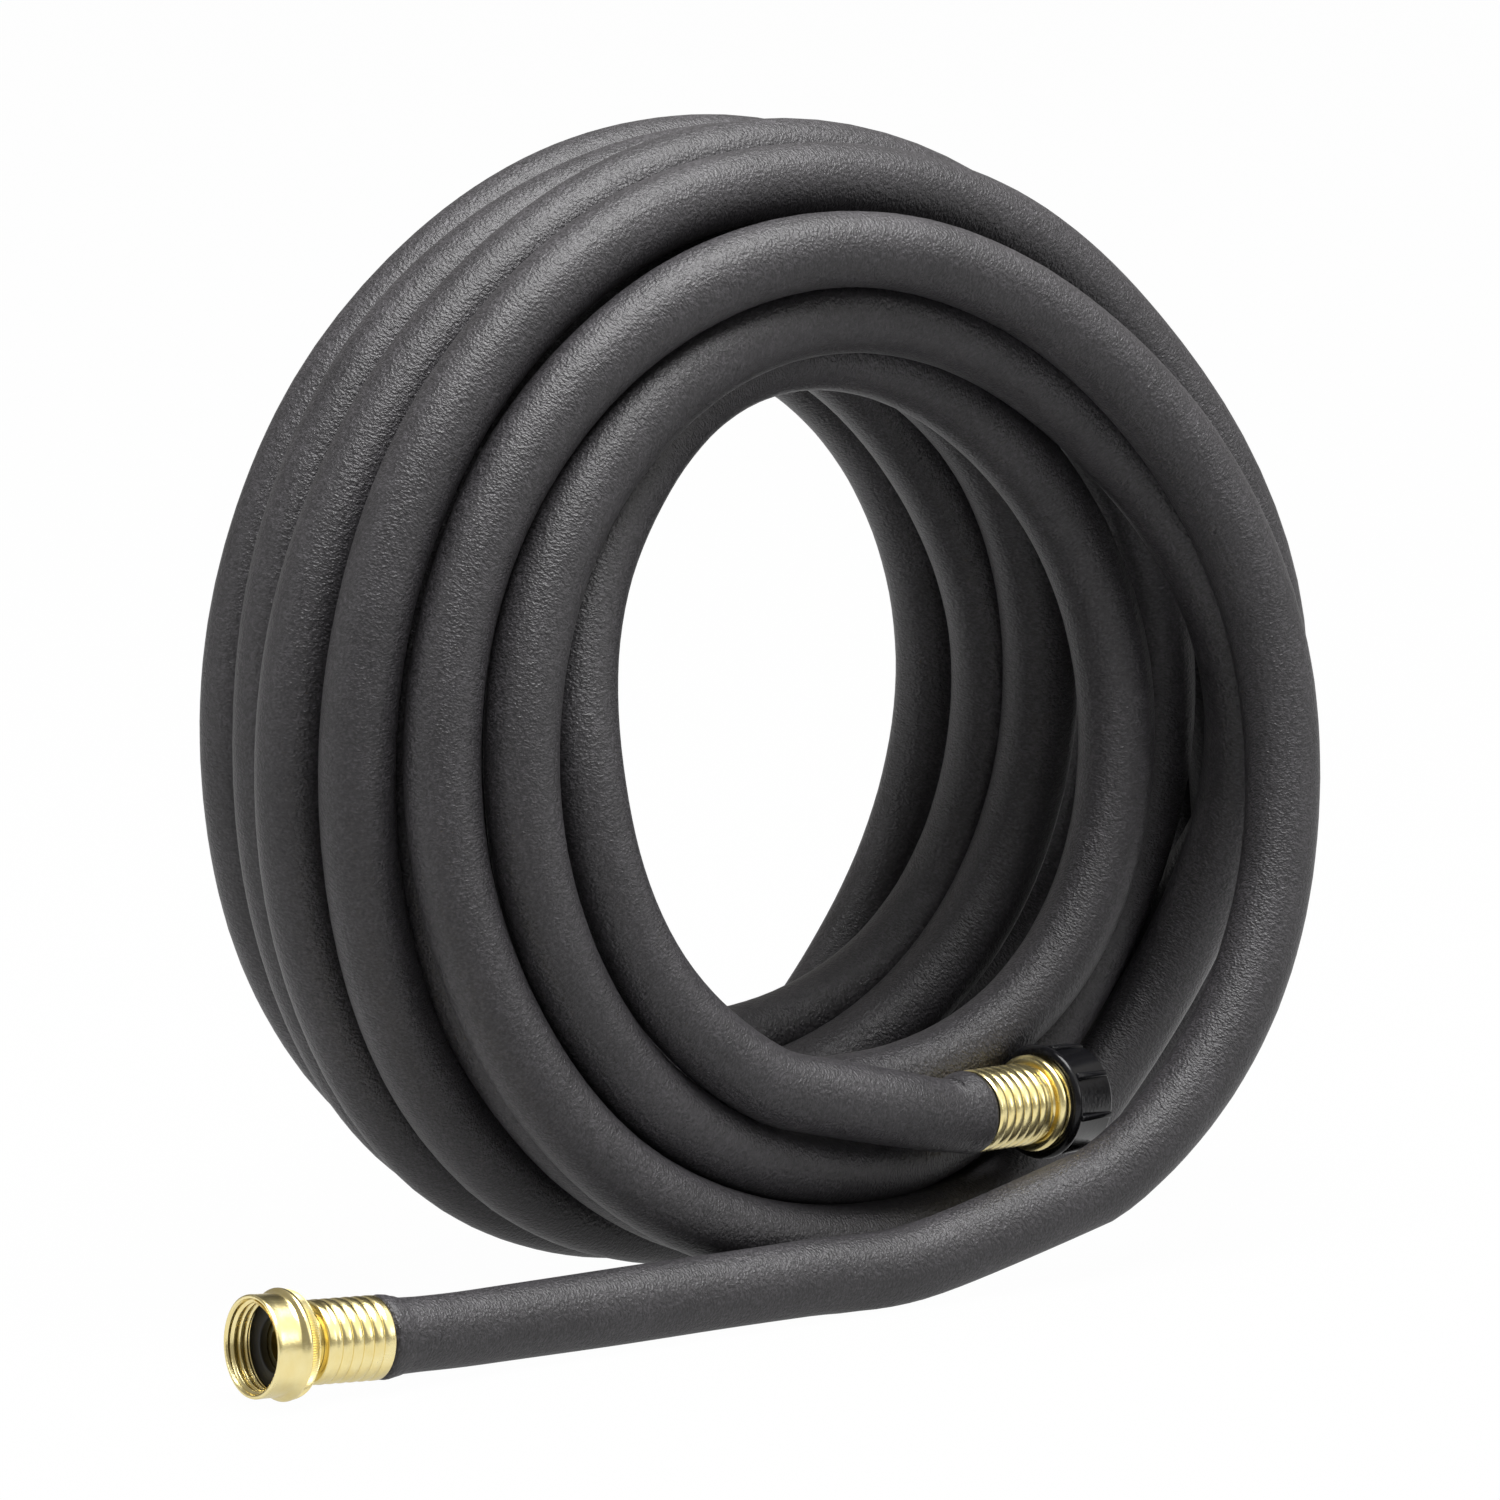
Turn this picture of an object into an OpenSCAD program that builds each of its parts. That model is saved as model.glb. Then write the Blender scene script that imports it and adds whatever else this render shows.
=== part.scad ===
// Soaker hose, coiled on edge: porous rubber hose, brass inlet with a swivel nut,
// brass outlet closed by a screw-on plastic end cap. Millimetres, Z up, floor at z = 0.
// The coil's axis runs along Y, and the inlet points along -X.

/* [Hose] */
// outside diameter of the hose
hose_od = 22.5; // [20:0.5:23]
// inside diameter of the hose
hose_id = 14.5; // [12:0.5:15.5]
// straight hose behind each ferrule
straight_len = 12; // [6:1:16]

/* [Crimped ferrules] */
// outside diameter over the crimp ridges
ferrule_od = 24.4; // [23.8:0.1:25.5]
// inside diameter, which is what the crimp leaves of the hose
ferrule_id = 22; // [21:0.1:22.4]
// length of a ferrule
ferrule_len = 24.5; // [20:0.5:26]
// distance from one crimp groove to the next
groove_pitch = 3.65; // [3:0.05:4]
// depth of a crimp groove
groove_depth = 0.5; // [0.2:0.1:0.6]
// number of crimp grooves
groove_count = 6; // [3:1:6]
// thickness of the ferrule's end wall
ferrule_wall = 1.2; // [0.8:0.1:2]

/* [Stems] */
// outside diameter over the barbs that grip the hose
barb_od = 15.8; // [15.6:0.1:17]
// depth of a barb
barb_depth = 0.5; // [0.2:0.1:0.8]
// number of barbs on a stem
barb_count = 4; // [2:1:5]
// diameter of the waterway
water_bore = 12; // [8:0.5:13]

/* [Hose thread, 3/4-11.5] */
// diameter of the male thread
male_thread_od = 26.4; // [26:0.1:27]
// clearance on radius between the end cap and the male thread
thread_fit = 0.08; // [0.02:0.01:0.1]
// diameter of the female thread in the swivel nut
female_thread_id = 27; // [26.6:0.1:27.4]

/* [Inlet swivel nut] */
// length of the nut
nut_len = 14.2; // [13:0.1:16]
// wall of the plain barrel, outside the thread
nut_wall = 1.3; // [1:0.1:2]
// height of the lip at the mouth over the barrel
nut_lip = 0.3; // [0.1:0.1:0.8]
// length of the lip
nut_lip_len = 1.5; // [1:0.1:3]
// height of the bead over the barrel
nut_bead = 1.4; // [0.8:0.1:2]
// width of the bead
nut_bead_width = 2.4; // [1.6:0.1:3]
// distance from the back of the nut to the middle of the bead
nut_shoulder_len = 4.4; // [3.5:0.1:5.5]
// diameter of the shoulder at the back of the nut
nut_back_od = 26.5; // [24:0.5:28]
// thickness of the wall that turns on the stem
nut_back_wall = 2; // [1.5:0.1:3]
// diameter of the stem's neck, which the nut turns on
neck_od = 19.2; // [18:0.1:21]
// clearance on radius between the nut and the neck
neck_fit = 0.08; // [0.02:0.01:0.1]
// diameter of the flange that holds the nut on
flange_od = 23; // [21.5:0.1:24]
// clearance on radius round the flange
flange_fit = 0.32; // [0.2:0.02:0.5]
// thickness of that flange
flange_len = 1.5; // [1:0.1:2.5]
// play of the nut along its axis
nut_play = 0.2; // [0.1:0.05:0.5]
// gap between the back of the nut and the ferrule
nut_gap = 3.3; // [2:0.1:6]

/* [Washers] */
// thickness of both rubber washers
washer_len = 2.7; // [2:0.1:3.2]
// outside diameter of the inlet washer, which is pressed into the nut
washer_od = 26.6; // [25:0.1:26.6]
// hole through the inlet washer
washer_id = 16; // [13:0.5:18]
// gap between a washer and a metal face across a joint
face_gap = 0.05; // [0.02:0.01:0.1]

/* [Outlet fitting and end cap] */
// outside diameter of the collar next to the ferrule
collar_od = 27; // [26.6:0.1:28.5]
// length of that collar
collar_len = 2.6; // [2:0.1:4]
// length of the male thread
male_thread_len = 13.9; // [12:0.1:16]
// thread left bare between the collar and the cap
bare_thread = 1.7; // [1:0.1:3]
// wall of the cap between its ribs
cap_wall = 2.7; // [2:0.1:2.8]
// height of the round rim at the cap's mouth over that wall
cap_rim_height = 1; // [0.6:0.1:1.1]
// thickness of the cap's closed end
cap_end = 2; // [1.5:0.1:3]
// chamfer round the cap's closed end
cap_chamfer = 1.4; // [0.5:0.1:1.8]
// number of grip ribs
cap_ribs = 8; // [6:1:12]
// height of a grip rib over the cap's wall
rib_height = 1.3; // [0.6:0.1:1.4]
// width of a grip rib
rib_width = 1.9; // [1:0.1:2.5]
// length of the rim
cap_rim_len = 2.8; // [1.5:0.1:4]

/* [Hidden] */
$fn = 96;
tube_sides = 10;
hose_colour = [0.24, 0.24, 0.25];
brass_colour = [0.85, 0.73, 0.42];
cap_colour = [0.05, 0.05, 0.06];
washer_colour = [0.08, 0.08, 0.08];

// The whole hose's box is centred on x = 0, y = 0 by moving the coil's frame here.
coil_at = [28.41, 13.27, 0];
// The turns are wound about this axis, which runs along Y.
turn_axis = [3, 155.5];
// Radius of each turn from the axis at eight stations, from the bottom round by the
// left, the top and the right. Turn 1 starts at the end cap and turn 11 ends at the inlet's tail.
turn_radius = [
    [101, 97, 98, 107, 114, 112, 111, 112],
    [104, 103, 105, 111, 117, 118, 116, 117],
    [117, 117, 118, 119, 119, 111, 111, 114],
    [105, 107, 110, 112, 112, 111, 112, 119],
    [136, 148, 151, 159, 165, 162, 154, 147],
    [144, 157, 157, 165, 166, 168, 160, 150],
    [144, 162, 166, 169, 170, 164, 163, 159],
    [144, 157, 162, 170, 168, 162, 162, 160],
    [143, 142, 140, 145, 144, 140, 137, 137],
    [122, 120, 122, 127, 128, 129, 144, 160],
    [142, 144, 144, 149, 149, 140, 140, 144],
    [144]
];
// Place along Y of each turn at the same stations.
turn_depth = [
    [-70, -66, -58, -36, -13, -15, -25, -32],
    [-32, -28, -13, 0, 11, 18, 21, 22],
    [24, 27, 31, 36, 41, 45, 41, 44],
    [46, 49, 53, 59, 65, 71, 72, 72],
    [57, 49, 47, 48, 49, 48, 46, 68],
    [34, 20, 20, 25, 26, 26, 22, 48],
    [11, -2, -6, -2, 4, 3, -2, 28],
    [-12, -26, -34, -31, -19, -18, -32, 7],
    [-34, -45, -30, -20, -12, -9, -10, -11],
    [-52, -63, -60, -47, -33, -33, -43, -17],
    [-61, -66, -52, -43, -41, -52, -68, -82],
    [-84]
];
stations = 8;
// The tail lies on the floor from the coil's last point to the inlet, which its nut holds up a little.
tail_route = [[-38, -84, 11.3], [-78, -84, 11.3], [-112, -84.5, 11.4], [-142, -86, 11.9], [-160, -87.5, 12.4]];
// The inlet and the outlet: centre of the ferrule's mouth, and the way out of the hose.
inlet_at = [-189.3, -89.6, 14.3];
inlet_rise = 3.6;
inlet_dir = [-cos(inlet_rise), 0, sin(inlet_rise)];
outlet_at = [35, -63.5, 48.4];
outlet_turn = 13;
outlet_dip = 3.5;
outlet_dir = [cos(outlet_dip) * cos(outlet_turn), cos(outlet_dip) * sin(outlet_turn), -sin(outlet_dip)];

// The hidden back turns are one ring, which the hose's turns 2 to 7 fill.
ring_centre = [3, 170];
ring_turns = [[112, 68], [112, 38], [112, 8], [160, 0], [160, 24], [160, 49]];
ring_reach = ring_centre[1] + hose_od;
// Where the two swept tubes leave and join that ring, in turns.
front_from = 7;
front_to = 11;
inner_to = 1.5;
rings_per_turn = 15;
inner_rings_per_turn = 10;

hose_r = hose_od / 2;
barb_r = barb_od / 2;
ferrule_r = ferrule_od / 2;
neck_r = neck_od / 2;
male_r = male_thread_od / 2;
female_r = female_thread_id / 2;
washer_r = washer_od / 2;
nut_r = max(female_r, washer_r) + nut_wall;

// Distances from the ferrule's mouth, along the fitting's axis.
nut_back = ferrule_len + nut_gap;
nut_mouth = nut_back + nut_len;
flange_back = nut_back + nut_back_wall + nut_play / 2;
washer_back = flange_back + flange_len + face_gap;
washer_front = washer_back + washer_len;
nut_bead_at = nut_back + nut_shoulder_len;
collar_front = ferrule_len + collar_len;
thread_front = collar_front + male_thread_len;
cap_washer_back = thread_front + face_gap;
cap_rim = collar_front + bare_thread;
cap_seat = cap_washer_back + washer_len;
cap_front = cap_seat + face_gap + cap_end;
cap_bore_r = male_r + thread_fit;
cap_r = cap_bore_r + cap_wall;
groove_first = 2.2;
barb_first = 2;
barb_pitch = (ferrule_len - 2 * barb_first - ferrule_wall) / barb_count;

function unit(v) = v / norm(v);

function flat(rows) = [for (row = rows) for (value = row) value];

// Smooth curve through a list of values at whole numbers of t.
function slope(v, i) = (v[min(i + 1, len(v) - 1)] - v[max(i - 1, 0)]) / 2;
function blend(a, b, sa, sb, u) = a + u * (sa + u * (3 * (b - a) - 2 * sa - sb + u * (2 * (a - b) + sa + sb)));
function smooth(v, t) =
    let (i = min(floor(t), len(v) - 2))
    blend(v[i], v[i + 1], slope(v, i), slope(v, i + 1), t - i);

// Point on the coil after so many turns.
function coil_point(turn) =
    let (t = turn * stations, angle = 360 * turn)
    let (r = smooth(flat(turn_radius), t), depth = smooth(flat(turn_depth), t))
    [turn_axis[0] - r * sin(angle), depth, turn_axis[1] - r * cos(angle)];

function coil_points(from, to, per_turn) =
    let (count = ceil((to - from) * per_turn))
    [for (i = [0 : count]) coil_point(from + (to - from) * i / count)];

// One ring of a swept tube's surface, square to the route at point i.
function ring_points(route, i, r) =
    let (ahead = route[min(i + 1, len(route) - 1)], behind = route[max(i - 1, 0)])
    let (along = unit(ahead - behind), side = unit(cross(along, [0, 1, 0])), up = cross(side, along))
    [for (k = [0 : tube_sides - 1])
        route[i] + r * (cos(360 * k / tube_sides) * side + sin(360 * k / tube_sides) * up)];

module tube(route, r) {
    last = len(route) - 1;
    first_cap = [[for (k = [0 : tube_sides - 1]) k]];
    last_cap = [[for (k = [0 : tube_sides - 1]) last * tube_sides + tube_sides - 1 - k]];
    walls = [for (i = [0 : last - 1]) for (k = [0 : tube_sides - 1])
        let (next = (k + 1) % tube_sides)
        [i * tube_sides + next, i * tube_sides + k, (i + 1) * tube_sides + k, (i + 1) * tube_sides + next]];
    surface = flat([for (i = [0 : last]) ring_points(route, i, r)]);
    polyhedron(points = surface, faces = concat(first_cap, walls, last_cap), convexity = 10);
}

// Places a piece whose own +Z runs out of the hose, with z = 0 at the ferrule's mouth.
module at_inlet() {
    translate(coil_at + inlet_at)
        rotate([0, inlet_rise - 90, 0])
            children();
}

module at_outlet() {
    translate(coil_at + outlet_at)
        rotate([0, 90 + outlet_dip, outlet_turn])
            children();
}

module pipe(r_out, r_in, from, to) {
    translate([0, 0, from])
        difference() {
            cylinder(r = r_out, h = to - from);
            translate([0, 0, -1])
                cylinder(r = r_in, h = to - from + 2);
        }
}

module hose_coil() {
    color(hose_colour)
        difference() {
            translate(coil_at + [ring_centre[0], 0, ring_centre[1]])
                rotate([-90, 0, 0])
                    rotate_extrude()
                        coil_section();
            translate(coil_at + [ring_centre[0] - ring_reach, -ring_reach, -ring_reach])
                cube([2 * ring_reach, 2 * ring_reach, ring_reach]);
        }
}

module coil_section() {
    polygon(ring_turns);
    for (turn = ring_turns)
        translate(turn)
            circle(r = hose_r);
}

module hose_front_turns() {
    inlet_lead = inlet_at - inlet_dir * straight_len;
    front = coil_points(front_from, front_to, rings_per_turn);
    color(hose_colour)
        translate(coil_at)
            tube(concat(front, tail_route, [inlet_lead]), hose_r);
}

module hose_inner_turn() {
    outlet_lead = outlet_at - outlet_dir * straight_len;
    inner = coil_points(0, inner_to, inner_rings_per_turn);
    color(hose_colour)
        translate(coil_at)
            tube(concat([outlet_lead], inner), hose_r);
}

// Straight end of the hose, squeezed between the barbs and the ferrule.
module hose_end() {
    color(hose_colour) {
        pipe(hose_r, hose_id / 2, -straight_len, 0);
        pipe(ferrule_id / 2, barb_r, 0, ferrule_len - ferrule_wall);
    }
}

module hose_inlet_end() {
    at_inlet()
        hose_end();
}

module hose_outlet_end() {
    at_outlet()
        hose_end();
}

module ferrule(hole_r) {
    color(brass_colour)
        difference() {
            cylinder(r = ferrule_r, h = ferrule_len);
            translate([0, 0, -1])
                cylinder(r = ferrule_id / 2, h = ferrule_len - ferrule_wall + 1);
            cylinder(r = hole_r, h = ferrule_len + 1);
            for (i = [0 : groove_count - 1])
                translate([0, 0, groove_first + i * groove_pitch])
                    crimp_groove();
        }
}

// A shallow round groove, as wide as the pitch less the ridge that stays.
module crimp_groove() {
    half = groove_pitch * 0.36;
    groove_r = (half * half + groove_depth * groove_depth) / (2 * groove_depth);
    rotate_extrude()
        translate([ferrule_r + groove_r - groove_depth, 0])
            circle(r = groove_r);
}

module inlet_ferrule() {
    at_inlet()
        ferrule(neck_r);
}

module outlet_ferrule() {
    at_outlet()
        ferrule(barb_r);
}

// Barbed shank from just inside the hose to the end of the ferrule.
module shank() {
    translate([0, 0, barb_first])
        cylinder(r = barb_r - barb_depth, h = ferrule_len - barb_first);
    for (i = [0 : barb_count - 1])
        translate([0, 0, barb_first + i * barb_pitch])
            cylinder(r1 = barb_r - barb_depth, r2 = barb_r, h = barb_pitch * 0.8);
}

module waterway(to) {
    translate([0, 0, -1])
        cylinder(r = water_bore / 2, h = to + 2);
}

module inlet_stem() {
    at_inlet()
        color(brass_colour)
            difference() {
                union() {
                    shank();
                    translate([0, 0, ferrule_len - ferrule_wall])
                        cylinder(r = neck_r, h = flange_back - ferrule_len + ferrule_wall);
                    translate([0, 0, flange_back])
                        cylinder(r = flange_od / 2, h = flange_len);
                }
                waterway(washer_back);
            }
}

module inlet_washer() {
    at_inlet()
        color(washer_colour)
            pipe(washer_r, washer_id / 2, washer_back, washer_front);
}

module inlet_swivel_nut() {
    at_inlet()
        color(brass_colour)
            difference() {
                union() {
                    translate([0, 0, nut_back])
                        cylinder(r1 = nut_back_od / 2, r2 = nut_r, h = nut_bead_at - nut_back);
                    translate([0, 0, nut_bead_at])
                        cylinder(r = nut_r, h = nut_mouth - nut_bead_at);
                    nut_bead_ring();
                    translate([0, 0, nut_mouth - nut_lip_len])
                        cylinder(r = nut_r + nut_lip, h = nut_lip_len);
                }
                translate([0, 0, nut_back - 1])
                    cylinder(r = neck_r + neck_fit, h = nut_len);
                translate([0, 0, nut_back + nut_back_wall])
                    cylinder(r = flange_od / 2 + flange_fit, h = nut_len);
                translate([0, 0, washer_back])
                    cylinder(r = washer_r, h = nut_len);
                translate([0, 0, washer_front])
                    cylinder(r = female_r, h = nut_len);
            }
}

module nut_bead_ring() {
    bead_r = nut_bead_width / 2;
    translate([0, 0, nut_bead_at])
        rotate_extrude()
            translate([nut_r + nut_bead - bead_r, 0])
                circle(r = bead_r);
}

module outlet_fitting() {
    at_outlet()
        color(brass_colour)
            difference() {
                union() {
                    shank();
                    translate([0, 0, ferrule_len])
                        cylinder(r = collar_od / 2, h = collar_len);
                    translate([0, 0, collar_front])
                        cylinder(r = male_r, h = male_thread_len);
                }
                waterway(thread_front);
            }
}

module end_cap_washer() {
    at_outlet()
        color(washer_colour)
            translate([0, 0, cap_washer_back])
                cylinder(r = male_r, h = washer_len);
}

module end_cap() {
    body_len = cap_front - cap_rim;
    at_outlet()
        color(cap_colour)
            difference() {
                union() {
                    translate([0, 0, cap_rim])
                        cylinder(r = cap_r, h = body_len - cap_chamfer);
                    cap_mouth_rim();
                    translate([0, 0, cap_front - cap_chamfer])
                        cylinder(r1 = cap_r, r2 = cap_r - cap_chamfer, h = cap_chamfer);
                    for (i = [0 : cap_ribs - 1])
                        rotate([0, 0, 360 * i / cap_ribs])
                            cap_rib(body_len);
                }
                translate([0, 0, cap_rim - 1])
                    cylinder(r = cap_bore_r, h = cap_front - cap_end - cap_rim + 1);
            }
}

module cap_mouth_rim() {
    round_r = cap_rim_len / 2;
    translate([0, 0, cap_rim + round_r])
        rotate_extrude()
            translate([cap_r + cap_rim_height - round_r, 0])
                circle(r = round_r);
}

module cap_rib(body_len) {
    root_r = cap_bore_r + cap_wall / 2;
    translate([root_r, -rib_width / 2, cap_rim + cap_rim_len / 2])
        cube([cap_r + rib_height - root_r, rib_width, body_len - cap_rim_len / 2 - cap_chamfer]);
}

hose_coil();
hose_front_turns();
hose_inner_turn();
hose_inlet_end();
hose_outlet_end();
inlet_ferrule();
inlet_stem();
inlet_washer();
inlet_swivel_nut();
outlet_ferrule();
outlet_fitting();
end_cap_washer();
end_cap();
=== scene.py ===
import bpy
import math
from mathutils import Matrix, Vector


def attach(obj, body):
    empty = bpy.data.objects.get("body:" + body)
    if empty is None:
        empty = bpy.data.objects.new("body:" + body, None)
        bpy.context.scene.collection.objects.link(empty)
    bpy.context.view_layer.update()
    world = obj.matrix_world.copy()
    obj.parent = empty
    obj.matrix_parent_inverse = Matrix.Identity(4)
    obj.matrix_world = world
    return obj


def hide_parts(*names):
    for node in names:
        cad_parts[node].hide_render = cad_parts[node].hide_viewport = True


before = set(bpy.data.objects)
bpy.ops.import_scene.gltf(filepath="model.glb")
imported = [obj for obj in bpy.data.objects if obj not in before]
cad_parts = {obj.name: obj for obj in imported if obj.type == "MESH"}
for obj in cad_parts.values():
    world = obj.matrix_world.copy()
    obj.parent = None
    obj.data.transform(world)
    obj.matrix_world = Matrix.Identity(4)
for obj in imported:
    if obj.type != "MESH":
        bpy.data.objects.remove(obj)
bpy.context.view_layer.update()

print("frame loaded")

mm = 0.001  # sizes and places below are in mm, and angles in degrees, unless a note says otherwise
coilAt = Vector((28.41, 13.27, 0.0))  # where the coil's own origin is in the shared frame


def rowPoint(x, y, z):
    return (coilAt + Vector((x, y, z))) * mm


cameraSetup = {
    "azimuth": -34.0,
    "elevation": 11.0,
    "distance": 5.0,  # in metres
    "target": rowPoint(0, 0, 150),
    "lens": 408.0,
    "sensor": 36.0,
    "farthest": 60.0,  # in metres, beyond the floor's far corner
}


def makeCamera(setup):
    azimuth = math.radians(setup["azimuth"])
    elevation = math.radians(setup["elevation"])
    back = Vector((
        math.sin(azimuth) * math.cos(elevation),
        -math.cos(azimuth) * math.cos(elevation),
        math.sin(elevation),
    ))
    bpy.ops.object.camera_add(location=setup["target"] + back * setup["distance"])
    camera = bpy.context.object
    camera.rotation_mode = "QUATERNION"
    camera.rotation_quaternion = (-back).to_track_quat("-Z", "Y")
    camera.data.sensor_width = setup["sensor"]
    camera.data.lens = setup["lens"]
    camera.data.clip_end = setup["farthest"]
    bpy.context.scene.camera = camera


makeCamera(cameraSetup)
print("camera ready")


# Shader maths as Python expressions on sockets.
class Wire:
    def __init__(self, board, socket):
        self.board = board
        self.socket = socket

    def maths(self, operation, first, second):
        return self.board.node("ShaderNodeMath", {"operation": operation}, {0: first, 1: second})

    def __add__(self, other):
        return self.maths("ADD", self, other)

    def __radd__(self, other):
        return self.maths("ADD", other, self)

    def __mul__(self, other):
        return self.maths("MULTIPLY", self, other)

    def __rmul__(self, other):
        return self.maths("MULTIPLY", other, self)


# The node tree of a material or a world.
class Board:
    def __init__(self, owner):
        owner.use_nodes = True
        self.owner = owner
        self.tree = owner.node_tree

    def node(self, kind, settings=None, inputs=None, output=0):
        made = self.tree.nodes.new(kind)
        for key, value in (settings or {}).items():
            if key == "stops":
                self.setStops(made.color_ramp.elements, value)
            else:
                setattr(made, key, value)
        for key, value in (inputs or {}).items():
            self.feed(made.inputs[key], value)
        return Wire(self, made.outputs[output])

    def setStops(self, elements, stops):
        while len(elements) < len(stops):
            elements.new(0.5)
        for element, (place, shade) in zip(elements, stops):
            element.position = place
            element.color = shade

    def feed(self, socket, value):
        if isinstance(value, Wire):
            self.tree.links.new(value.socket, socket)
        else:
            socket.default_value = value

    def noise(self, vector, pattern):
        scale, detail = pattern
        inputs = {"Vector": vector, "Scale": scale, "Detail": detail}
        return self.node("ShaderNodeTexNoise", {}, inputs)

    # a shade for each stop between 0 and 1
    def ramp(self, value, places, shades):
        stops = list(zip(places, shades))
        return self.node("ShaderNodeValToRGB", {"stops": stops}, {"Fac": value})

    def mix(self, share, first, second):
        settings = {"data_type": "RGBA"}
        return self.node("ShaderNodeMix", settings, {0: share, 6: first, 7: second}, output=2)

    def ray(self, kind):
        return self.node("ShaderNodeLightPath", output=kind)


class MaterialBoard(Board):
    def __init__(self, name):
        super().__init__(bpy.data.materials.new(name))
        self.shader = self.tree.nodes["Principled BSDF"]

    def set(self, name, value):
        self.feed(self.shader.inputs[name], value)

    # rougher where the pattern is higher
    def setRoughness(self, pattern, look):
        self.set("Roughness", pattern * look["roughSpread"] + look["roughLow"])

    def setBump(self, height, look):
        inputs = {"Height": height, "Strength": look["bump"], "Distance": look["bumpDepth"]}
        self.set("Normal", self.node("ShaderNodeBump", {}, inputs))


# Patterns have a scale, in repeats to a metre, and a detail. Bump depths are in metres.
rubberLook = {
    "dark": (0.022, 0.021, 0.023, 1),
    "mid": (0.037, 0.035, 0.038, 1),
    "fleck": (0.070, 0.066, 0.072, 1),
    "stops": (0.36, 0.5, 0.66),
    "stretch": (0.7, 0.7, 1.0),  # the crumbs are a little longer round the hose than along it
    "pebbles": (1500.0, 2.5),
    "lumps": (750.0, 2.0),
    "blotches": (40.0, 3.0),
    "toneShares": (0.5, 0.3, 0.2),  # of the pebbles, the lumps and the blotches
    "heightShares": (0.6, 0.4),  # of the pebbles and the lumps
    "roughLow": 0.3,
    "roughSpread": 0.25,
    "specular": 0.42,
    "bump": 1.0,
    "bumpDepth": 0.0007,
}


def makeRubber(look):
    board = MaterialBoard("hoseRubber")
    along = board.node("ShaderNodeAttribute", {"attribute_name": "hoseCoord"}, output="Vector")
    settings = {"operation": "MULTIPLY"}
    stretched = board.node("ShaderNodeVectorMath", settings, {0: along, 1: look["stretch"]})
    pebbles = board.noise(stretched, look["pebbles"])
    lumps = board.noise(stretched, look["lumps"])
    blotches = board.noise(along, look["blotches"])
    pebbleTone, lumpTone, blotchTone = look["toneShares"]
    tone = pebbles * pebbleTone + lumps * lumpTone + blotches * blotchTone
    shades = (look["dark"], look["mid"], look["fleck"])
    board.set("Base Color", board.ramp(tone, look["stops"], shades))
    board.set("Specular IOR Level", look["specular"])
    board.setRoughness(pebbles, look)
    pebbleHeight, lumpHeight = look["heightShares"]
    board.setBump(pebbles * pebbleHeight + lumps * lumpHeight, look)
    return board.owner


brassLook = {
    "base": (0.92, 0.80, 0.42, 1),
    "warm": (0.88, 0.73, 0.33, 1),
    "stops": (0.3, 0.62),
    "clouds": (180.0, 4.0),
    "scratches": (1400.0, 2.0),
    "roughLow": 0.17,
    "roughSpread": 0.16,
    "bump": 0.1,
    "bumpDepth": 0.0003,
}


def makeBrass(look):
    board = MaterialBoard("polishedBrass")
    place = board.node("ShaderNodeTexCoord", output="Object")
    clouds = board.noise(place, look["clouds"])
    shades = (look["warm"], look["base"])
    board.set("Base Color", board.ramp(clouds, look["stops"], shades))
    board.set("Metallic", 1.0)
    board.setRoughness(clouds, look)
    board.setBump(board.noise(place, look["scratches"]), look)
    return board.owner


capLook = {
    "base": (0.006, 0.006, 0.007, 1),
    "worn": (0.011, 0.011, 0.013, 1),
    "stops": (0.3, 0.7),
    "skin": (900.0, 2.0),
    "roughLow": 0.13,
    "roughSpread": 0.08,
    "specular": 0.25,
    "bump": 0.12,
    "bumpDepth": 0.0003,
}
washerLook = {
    "base": (0.006, 0.006, 0.006, 1),
    "worn": (0.014, 0.014, 0.014, 1),
    "stops": (0.3, 0.7),
    "skin": (700.0, 3.0),
    "roughLow": 0.45,
    "roughSpread": 0.2,
    "specular": 0.5,
    "bump": 0.2,
    "bumpDepth": 0.0003,
}


def makeBlackSkin(name, look):
    board = MaterialBoard(name)
    place = board.node("ShaderNodeTexCoord", output="Object")
    skin = board.noise(place, look["skin"])
    board.set("Base Color", board.ramp(skin, look["stops"], (look["base"], look["worn"])))
    board.set("Specular IOR Level", look["specular"])
    board.setRoughness(skin, look)
    board.setBump(skin, look)
    return board.owner


rubber = makeRubber(rubberLook)
brass = makeBrass(brassLook)
capPlastic = makeBlackSkin("capPlastic", capLook)
washerRubber = makeBlackSkin("washerRubber", washerLook)
print("materials ready")


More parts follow.
